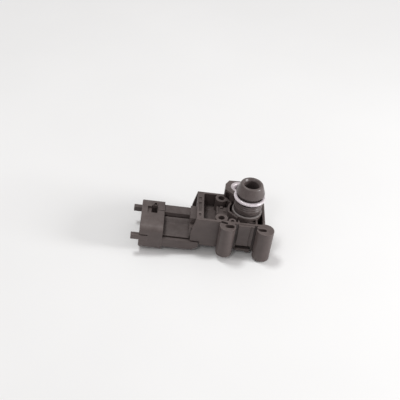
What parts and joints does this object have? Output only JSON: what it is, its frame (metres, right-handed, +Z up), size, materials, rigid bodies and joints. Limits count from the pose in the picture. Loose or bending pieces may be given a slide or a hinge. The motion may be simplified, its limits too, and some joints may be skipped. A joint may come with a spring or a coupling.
{
  "type": "manifold pressure sensor",
  "caption": "Pressure sensor with a tapered port and sealing ring on a ribbed tray body, side plug socket with guide prongs, bolt lug with steel bush and hollow clip posts.",
  "frame": {"origin": "axis of the pressure port, level with the top of the tray walls", "axes": "+Z up the port, +X away from the plug socket, +Y towards the bolt lug"},
  "size_m": [0.0711, 0.0344, 0.04],
  "materials": {
    "housing_plastic": "moulded glass-filled plastic, dark brown-grey, satin",
    "port_plastic": "moulded glass-filled plastic, dark brown-grey, smooth",
    "cover_plastic": "moulded plastic, dark brown-grey",
    "adhesive": "cured adhesive, dull grey",
    "sealant": "cured silicone, dark grey",
    "ring_rubber": "silicone rubber, pale lilac grey, oiled",
    "bush_steel": "bright plated steel",
    "terminal_tin": "tinned bronze",
    "lead_frame": "copper alloy",
    "package_plastic": "moulded epoxy, black",
    "pedestal_glass": "glass",
    "silicon": "polished silicon",
    "bond_aluminium": "aluminium",
    "gel": "clear soft gel",
    "capacitor_ceramic": "ceramic, tan"
  },
  "bodies": {
    "root": {"housing": "housing_plastic", "pressure_port": "port_plastic", "port_adhesive_bead": "adhesive", "port_o_ring": "ring_rubber", "mounting_bush": "bush_steel", "bottom_cover": "cover_plastic", "cover_sealant": "sealant", "terminal_ground": "terminal_tin", "terminal_signal": "terminal_tin", "terminal_supply": "terminal_tin", "module_seal": "sealant", "module_lead_ground": "lead_frame", "module_lead_signal": "lead_frame", "module_lead_supply": "lead_frame", "sensor_package": "package_plastic", "glass_pedestal": "pedestal_glass", "pressure_die": "silicon", "signal_die": "silicon", "bond_ribbons": "bond_aluminium", "protective_gel": "gel", "capacitor_signal": "capacitor_ceramic", "capacitor_supply": "capacitor_ceramic"}
  },
  "joints": []
}
